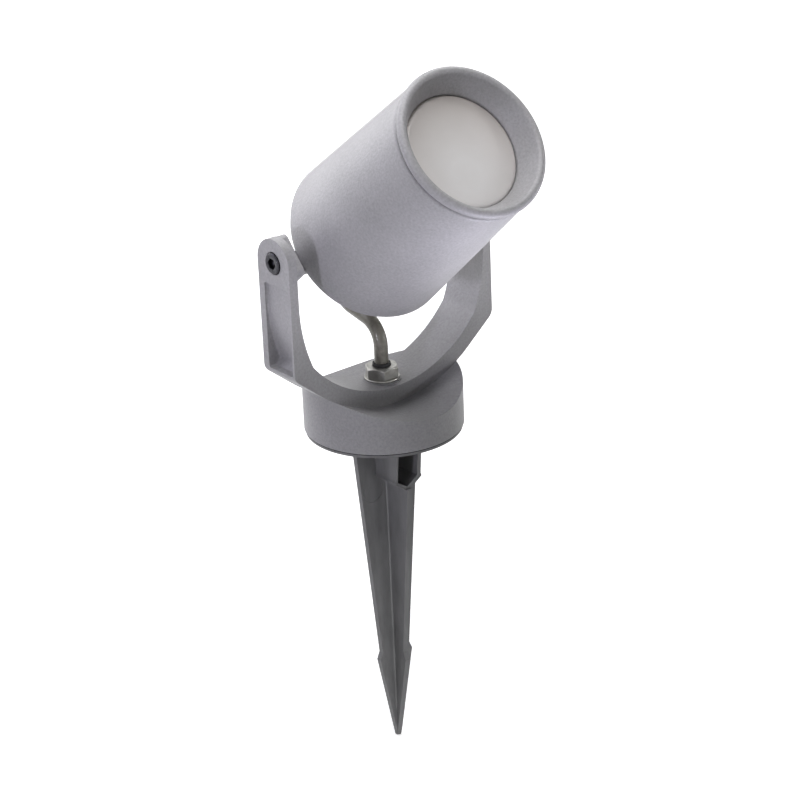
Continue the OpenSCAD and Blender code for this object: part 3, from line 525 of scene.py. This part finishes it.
def make_yoke():
    """Cast yoke: bent arms with rounded tops and shallow outer pockets, and a round foot with a boss for the gland."""
    yoke = slab("yoke_casting", yoke_outline(), -ARM_W / 2, ARM_W / 2, STAND)
    side_view = [(-12, 0), (12, 0)] + arc(0, PIVOT_H, 12, 0, 180, 4)
    carve(yoke, slab("side_view", side_view, -70, 70, ACROSS), "INTERSECT")
    skin, low, high = 3.4, BEND_Z + 1.6, 89
    for side in (-1, 1):
        floor = [p for p in arc(CURVE_X, CURVE_Z, CURVE_R + skin, 6, -24, 1.5) if BEND_Z + 3.9 < p[1] < high - 0.3]
        pocket = [(60.4, high)] + floor + [(57.6, low), (70, low), (70, high)]
        tool = slab("pocket", [(side * x, z) for x, z in pocket], -7.8, 10.6, STAND)
        soften(tool, 1.1, 4, 50)
        carve(yoke, tool)
        spot = Matrix.Translation((0, 0, PIVOT_H * MM)) @ (ON_X if side > 0 else ON_X.inverted())
        carve(yoke, rod("pivot_hole", 3.05, 50, 70, spot, 48))
        carve(yoke, rod("counterbore", 5.7, 59.6, 70, spot, 64))
    carve(yoke, rod("boss", 9.4, 18, GLAND_SEAT, None, 96), "UNION")
    carve(yoke, rod("gland_bore", GLAND_BORE_R, 5, 30, None, 64))
    soften(yoke, 0.55)
    return even_normals(smooth(yoke))


def make_canopy():
    """Cast canopy: round cup with a saddle for a roof, three screw bosses inside and the gland's hole."""
    canopy = rod("canopy_casting", CANOPY_R, 0, 30, None, 180)
    top = slab("top", arc(0, ARC_Z, SADDLE_R, 0, 360, 2)[:-1], -50, 50, STAND)
    carve(canopy, top)
    space = rod("wiring_space", 36.3, -2, 30, None, 120)
    carve(space, slab("roof", arc(0, ARC_Z, SADDLE_R + 3, 0, 360, 2)[:-1], -50, 50, STAND))
    for angle in COVER_SCREW_ANGLES:
        spot = round_axis(angle, COVER_SCREW_PCR)
        carve(space, rod("boss", 3.4, -1, 30, spot, 48))
    carve(canopy, space)
    for angle in COVER_SCREW_ANGLES:
        spot = round_axis(angle, COVER_SCREW_PCR)
        carve(canopy, rod("foot", 3.4, -0.6, 1, spot, 48), "UNION")
        carve(canopy, rod("bore", 1.6, -2, 8, spot, 32))
    carve(canopy, rod("gland_bore", GLAND_BORE_R, 5, 30, None, 64))
    soften(canopy, 1.0)
    return even_normals(smooth(canopy))


def make_spike():
    """Moulded spike: round flange, four fins that taper to a barbed tip, and an open socket over the front fin."""
    floor = -30.7
    fin = [(0, -2), (20.4, -2), (8.7, -125), (10.4, -129), (1.6, -173), (0.8, -176), (0, -176)]
    front = [(0, floor), (17.67, floor)] + fin[2:]
    spike = rod("ground_spike", 20.39, -6, -2, None, 96)
    for angle, side in ((0, fin), (90, fin), (180, fin), (270, front)):
        turn = Matrix.Rotation(math.radians(angle), 4, "Z") @ STAND
        carve(spike, slab("fin", side, -1.4, 1.4, turn), "UNION")
    carve(spike, rod("core", 2.4, -160, -30.8, None, 32), "UNION")
    trough = slab("trough", [(-7.8, -2.01), (-7.8, -26), (-1.4, floor), (1.4, floor), (7.8, -26), (7.8, -2.01)],
                  0, 20.4, STAND)
    side = [(0, -1), (-19.4, -1), (-19.4, -2), (-16.67, floor), (-16.5, -32), (0, -32)]
    edge, edge_copy = slab("edge", side, -9, 9, ACROSS), slab("edge", side, -9, 9, ACROSS)
    carve(trough, edge, "INTERSECT")
    lip = slab("lip", [(-8.3, -25.1), (-1.4, -30.3), (1.4, -30.3), (8.3, -25.1), (8.3, -26.2), (1.5, -31.3),
                       (-1.5, -31.3), (-8.3, -26.2)], 1, 19.9, STAND)
    carve(lip, edge_copy, "INTERSECT")
    carve(spike, trough, "UNION")
    carve(spike, lip, "UNION")
    carve(spike, slab("niche", [(-6.8, -6), (-6.8, -25.6), (-0.6, -29.4), (5.5, -25.0), (5.5, -6)], 1.4, 21, STAND))
    mark = [(x - 10.2, z - 34) for x, z in arc(0, 0, 6.0, 150, 385, 7) + arc(0, 0, 5.6, 385, 150, 7)]
    carve(spike, slab("pin_mark", mark, 1.15, 2, STAND))
    carve(spike, rod("plate_hole", 6.1, -7, 0, Matrix.Translation((0, -9.4 * MM, 0)), 64))
    for angle in (45, 135):
        spot = round_axis(angle, 12.5)
        carve(spike, rod("screw_hole", 1.6, -7, 0, spot, 32))
    soften(spike, 0.3, 2)
    return even_normals(smooth(spike))


def make_nut(name, place):
    """Compression nut: hexagon with a turned chamfer, open in the middle for the seal."""
    corner = 7.5 / math.cos(math.radians(30))
    nut = slab(name, arc(0, 0, corner, 0, 360, 60)[:-1], COLLAR_H, NUT_TOP)
    dome = lathe("chamfer", [(0, 0), (corner + 1, 0), (corner + 1, 5.2), (8.7, 5.75), (7.1, NUT_TOP), (0, NUT_TOP)],
                 None, 96)
    carve(nut, dome, "INTERSECT")
    carve(nut, rod("bore", 4.65, 0, 8, None, 64))
    soften(nut, 0.25, 2)
    nut.data.transform(place)
    return even_normals(smooth(nut))


def make_gland_body(name, place, socket):
    """Gland body: threaded stem, round collar and the sleeve inside the nut."""
    outline = rounded([
        (3.8, -socket, 0), (6.0, -socket, 0.3), (6.0, 0, 0), (COLLAR_R, 0, 0.2), (COLLAR_R, COLLAR_H, 0.45),
        (5.6, COLLAR_H, 0), (5.6, 3.9, 0.2), (3.8, 3.9, 0)], 20)
    return smooth(lathe(name, outline, place, 96))


def make_gland_seal(name, place):
    """Rubber seal: a flange inside the nut and a short neck out of it."""
    outline = rounded([
        (3.55, 3.9, 0), (5.6, 3.9, 0.2), (5.6, 4.9, 0.2), (4.5, 4.9, 0), (4.5, 8.2, 0.45), (3.55, 8.2, 0.2)], 20)
    return smooth(lathe(name, outline, place, 96))


def lead_route():
    """Centre line of the lead, worked out as in part.scad: up, round in two bends, and along the beam's axis."""
    neck = GLAND_SEAT + NUT_TOP + 1.5
    inward = Vector((0, -math.sin(HEAD_LEAN), math.cos(HEAD_LEAN)))
    mouth = Vector((0, 0, PIVOT_H)) - inward * (8.2 - REAR_Z)
    lean = math.radians(78)
    r = 0.267 * (mouth.z - neck)
    run = (mouth.y + 4 * math.sin(HEAD_LEAN) - r * (1 - 2 * math.cos(lean) + math.cos(HEAD_LEAN))) / math.sin(lean)
    rise = mouth.z - 4 * math.cos(HEAD_LEAN) - r * (2 * math.sin(lean) + math.sin(HEAD_LEAN)) - run * math.cos(lean)

    def bend(start, h1, h2, count):
        way = 1 if h2 > h1 else -1
        return [start + way * r * Vector((0, math.cos(h1) - math.cos(h), math.sin(h) - math.sin(h1)))
                for h in (h1 + (h2 - h1) * k / count for k in range(1, count + 1))]

    line = [Vector((0, 0, z)) for z in (neck - 4.3, neck - 2, neck, (neck + rise) / 2, rise)]
    line += bend(line[-1], 0, lean, 16)
    line += [line[-1] + run * k / 6 * Vector((0, math.sin(lean), math.cos(lean))) for k in range(1, 7)]
    line += bend(line[-1], lean, -HEAD_LEAN, 26)
    return line + [mouth, mouth + 2 * inward, mouth + 4.3 * inward]


def make_lead():
    """Lead between the two glands, as a tube on a curve that is turned to a mesh."""
    line = lead_route()
    all_clear()
    curve = bpy.data.curves.new("lead_tube", "CURVE")
    curve.dimensions = "3D"
    spline = curve.splines.new("POLY")
    spline.points.add(len(line) - 1)
    for point, spot in zip(spline.points, line):
        point.co = (*(spot * MM), 1)
    curve.bevel_depth = LEAD_R * MM
    curve.bevel_resolution = 6
    curve.use_fill_caps = True
    obj = bpy.data.objects.new("lead_tube", curve)
    scene.collection.objects.link(obj)
    take(obj)
    bpy.ops.object.convert(target="MESH")
    obj = bpy.context.object
    bpy.ops.object.mode_set(mode="EDIT")
    close_up(obj)
    smooth(obj, 50)
    return obj, [tuple(p * MM) for p in line]


def make_pivot_screw(name, side):
    """Socket-head screw: knurled cylinder head with a hexagon socket, on a plain shank."""
    seat, top, teeth = 59.6, 62.6, 32
    knurl = [((5.38 if k % 2 else 5.12) * math.cos(math.pi * k / teeth),
              (5.38 if k % 2 else 5.12) * math.sin(math.pi * k / teeth)) for k in range(2 * teeth)]
    screw = slab(name, knurl, seat, top)
    cap = lathe("cap", [(0, 59), (6, 59), (6, 61.4), (5.35, 62.0), (4.8, top), (0, top)], None, 96)
    carve(screw, cap, "INTERSECT")
    skew = Matrix.Rotation(math.radians(12), 4, "Z")
    carve(screw, rod("socket", 2.5 / math.cos(math.radians(30)), 60.4, 64, skew, 6))
    carve(screw, rod("shank", 2.99, 52, 60, None, 48), "UNION")
    turn = ON_X if side > 0 else Matrix.Rotation(-math.pi / 2, 4, "Y")
    screw.data.transform(HEAD @ turn)
    soften(screw, 0.12, 2, 40)
    return smooth(screw, 40)


set_camera()

coat = powder_coat()
nylon = moulded_nylon()
rubber = black_rubber()
oxide = black_oxide()
gland = plated_brass()
zinc = zinc_plate()
sheath = lead_sheath()
frosted = frosted_glass()
ceramic = steatite()
silvered = silvered_glass()

lead, lead_path = make_lead()
finish_in(sheath, lead)
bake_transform(lead)

fit(make_hood(), "head", coat, "coat", "head_hood")
fit(make_ring(), "front_ring", coat, "coat", "front_ring")
fit(make_lens(), "lens_pack", frosted, "lens", "lens_glass")
fit(make_rear(), "head", coat, "coat", "rear_housing")
fit(make_yoke(), "base", coat, "coat", "yoke")
fit(make_canopy(), "base", coat, "coat", "canopy")
fit(make_spike(), "base", nylon, "spike_plastic", "spike")
fit(make_nut("gland_nut", BASE_GLAND), "base", gland, "gland_metal", "base_gland_nut")
fit(make_nut("head_gland_nut", REAR_GLAND), "head", gland, "gland_metal", "rear_gland_nut")
fit(make_gland_body("gland_stem", BASE_GLAND, 12.5), "base", gland, "gland_metal", "base_gland_body")
fit(make_gland_body("head_gland_stem", REAR_GLAND, 3), "head", gland, "gland_metal", "rear_gland_body")
fit(make_gland_seal("gland_neck", BASE_GLAND), "base", rubber, "rubber", "base_gland_seal")
fit(make_gland_seal("head_gland_neck", REAR_GLAND), "head", rubber, "rubber", "rear_gland_seal")
fit(make_pivot_screw("left_pivot", -1), "head", oxide, "black_steel", "pivot_screw_left")
fit(make_pivot_screw("right_pivot", 1), "head", oxide, "black_steel", "pivot_screw_right")

NODE_FINISHES = (
    (rubber, "base_gasket supply_grommet rear_seal lens_seal pivot_washer_left pivot_washer_right"),
    (nylon, "bottom_cover spike"),
    (oxide, "cover_screws spike_screws hood_screws pivot_screw_left pivot_screw_right"),
    (zinc, "spike_nuts holder_bracket bracket_screws"),
    (ceramic, "terminal_block lamp_holder"),
    (silvered, "lamp"),
    (coat, "yoke canopy rear_housing head_hood front_ring"),
    (gland, "base_gland_body base_gland_nut rear_gland_body rear_gland_nut"),
    (rubber, "base_gland_seal rear_gland_seal"),
    (sheath, "lead"),
    (frosted, "lens_glass"))
for material, names in NODE_FINISHES:
    finish_in(material, *[nodes[n] for n in names.split()])

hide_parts("lead")


def seen_directly(tree):
    """One for camera rays, for rays through glass and for reflections, and zero for the rays that light the part."""
    path = add(tree, "ShaderNodeLightPath").outputs
    glass = add(tree, "ShaderNodeMath", links={0: path["Is Camera Ray"], 1: path["Is Transmission Ray"]},
                operation="MAXIMUM")
    shown = add(tree, "ShaderNodeMath", links={0: glass.outputs["Value"], 1: path["Is Glossy Ray"]},
                operation="MAXIMUM")
    return shown.outputs["Value"]


def add_floor():
    """Pale floor just under the spike's tip: it shows white in the picture, in reflections and through glass."""
    all_clear()
    bpy.ops.mesh.primitive_plane_add(size=12, location=(0, 0, -0.1765))
    floor = bpy.context.object
    floor.name = "floor"
    made = bpy.data.materials.new("pale_floor")
    made.use_nodes = True
    tree = made.node_tree
    tree.nodes.clear()
    plain = add(tree, "ShaderNodeBsdfDiffuse", {"Color": linear("#e6e6e6")})
    # The glow grows away from the spike's tip, where less of the lamps' light falls
    where = add(tree, "ShaderNodeTexCoord")
    away = add(tree, "ShaderNodeVectorMath", {1: (0, 0, 0)}, {0: where.outputs["Object"]}, operation="DISTANCE")
    level = add(tree, "ShaderNodeMapRange", {"From Min": 0.1, "From Max": 0.9, "To Min": 0.6, "To Max": 1.0},
                {"Value": away.outputs["Value"]})
    glow = add(tree, "ShaderNodeEmission", {"Color": (1, 1, 1, 1)}, {"Strength": level.outputs["Result"]})
    lit = add(tree, "ShaderNodeAddShader", links={0: plain.outputs["BSDF"], 1: glow.outputs["Emission"]})
    mix = add(tree, "ShaderNodeMixShader",
              links={"Fac": seen_directly(tree), 1: plain.outputs["BSDF"], 2: lit.outputs["Shader"]})
    add(tree, "ShaderNodeOutputMaterial", links={"Surface": mix.outputs["Shader"]})
    floor.data.materials.append(made)


def add_world():
    """White background wherever it is seen directly, that gives the part only a little even light."""
    world = bpy.data.worlds.new("studio")
    scene.world = world
    world.use_nodes = True
    tree = world.node_tree
    tree.nodes.clear()
    strength = add(tree, "ShaderNodeMapRange", {"To Min": 0.09, "To Max": 1.0}, {"Value": seen_directly(tree)})
    glow = add(tree, "ShaderNodeBackground", {"Color": (1, 1, 1, 1)}, {"Strength": strength.outputs["Result"]})
    add(tree, "ShaderNodeOutputWorld", links={"Surface": glow.outputs["Background"]})


def stand(lamp, spot, target):
    """Stands a lamp at a spot in metres and turns it to look at the target."""
    away = Vector(spot) - Vector(target)
    lamp.matrix_world = Matrix.Translation(spot) @ away.to_track_quat("Z", "Y").to_matrix().to_4x4()
    scene.collection.objects.link(lamp)


def add_soft_box(name, spot, power, colour, size=0.7):
    """Round area lamp that looks at the part's middle."""
    light = bpy.data.lights.new(name, "AREA")
    light.shape = "DISK"
    light.size = size
    light.energy = power
    light.color = colour
    stand(bpy.data.objects.new(name, light), spot, (0, 0, 0.08))


def add_soft_spot(name, spot, target, angle, size, power, colour):
    """Narrow lamp for one region, with a beam in degrees and no hard edge."""
    light = bpy.data.lights.new(name, "SPOT")
    light.spot_size = math.radians(angle)
    light.spot_blend = 1.0
    light.shadow_soft_size = size
    light.energy = power
    light.color = colour
    stand(bpy.data.objects.new(name, light), spot, target)


add_floor()
add_world()
LILAC = (0.88, 0.86, 1.0)
WHITE = (1, 1, 1)
add_soft_box("top_box", (0, -0.09, 1.08), 3.6, WHITE)
add_soft_box("right_box", (0.71, 0.41, 0.65), 2, WHITE)
add_soft_box("back_box", (0, 0.5, 0.95), 2.4, WHITE)
add_soft_box("back_low_box", (-0.17, 0.96, 0.29), 2.4, WHITE)
add_soft_box("back_left_box", (-0.63, 0.53, 0.65), 2.4, LILAC)
add_soft_spot("head_lamp", (-0.3, 0.3, 1.1), (0, -0.03, 0.17), 16, 0.1, 5, WHITE)
add_soft_spot("lens_lamp", (-0.1, -0.42, 1.12), (0, -0.065, 0.15), 7, 0.1, 44, WHITE)
add_soft_spot("low_lamp", (0.04, -0.3, -0.165), (0, -0.07, 0.19), 48, 0.05, 6, LILAC)
add_soft_spot("left_arm_lamp", (-1.0, -0.25, 0.12), (-0.06, 0, 0.068), 7, 0.15, 125, LILAC)
add_soft_spot("right_arm_lamp", (0.8, -0.7, 0.15), (0.06, 0, 0.095), 6, 0.1, 55, WHITE)
add_soft_spot("spike_lamp", (-0.35, -0.8, 0.0), (0, 0, -0.145), 10, 0.1, 36, WHITE)

scene.view_settings.view_transform = "Standard"
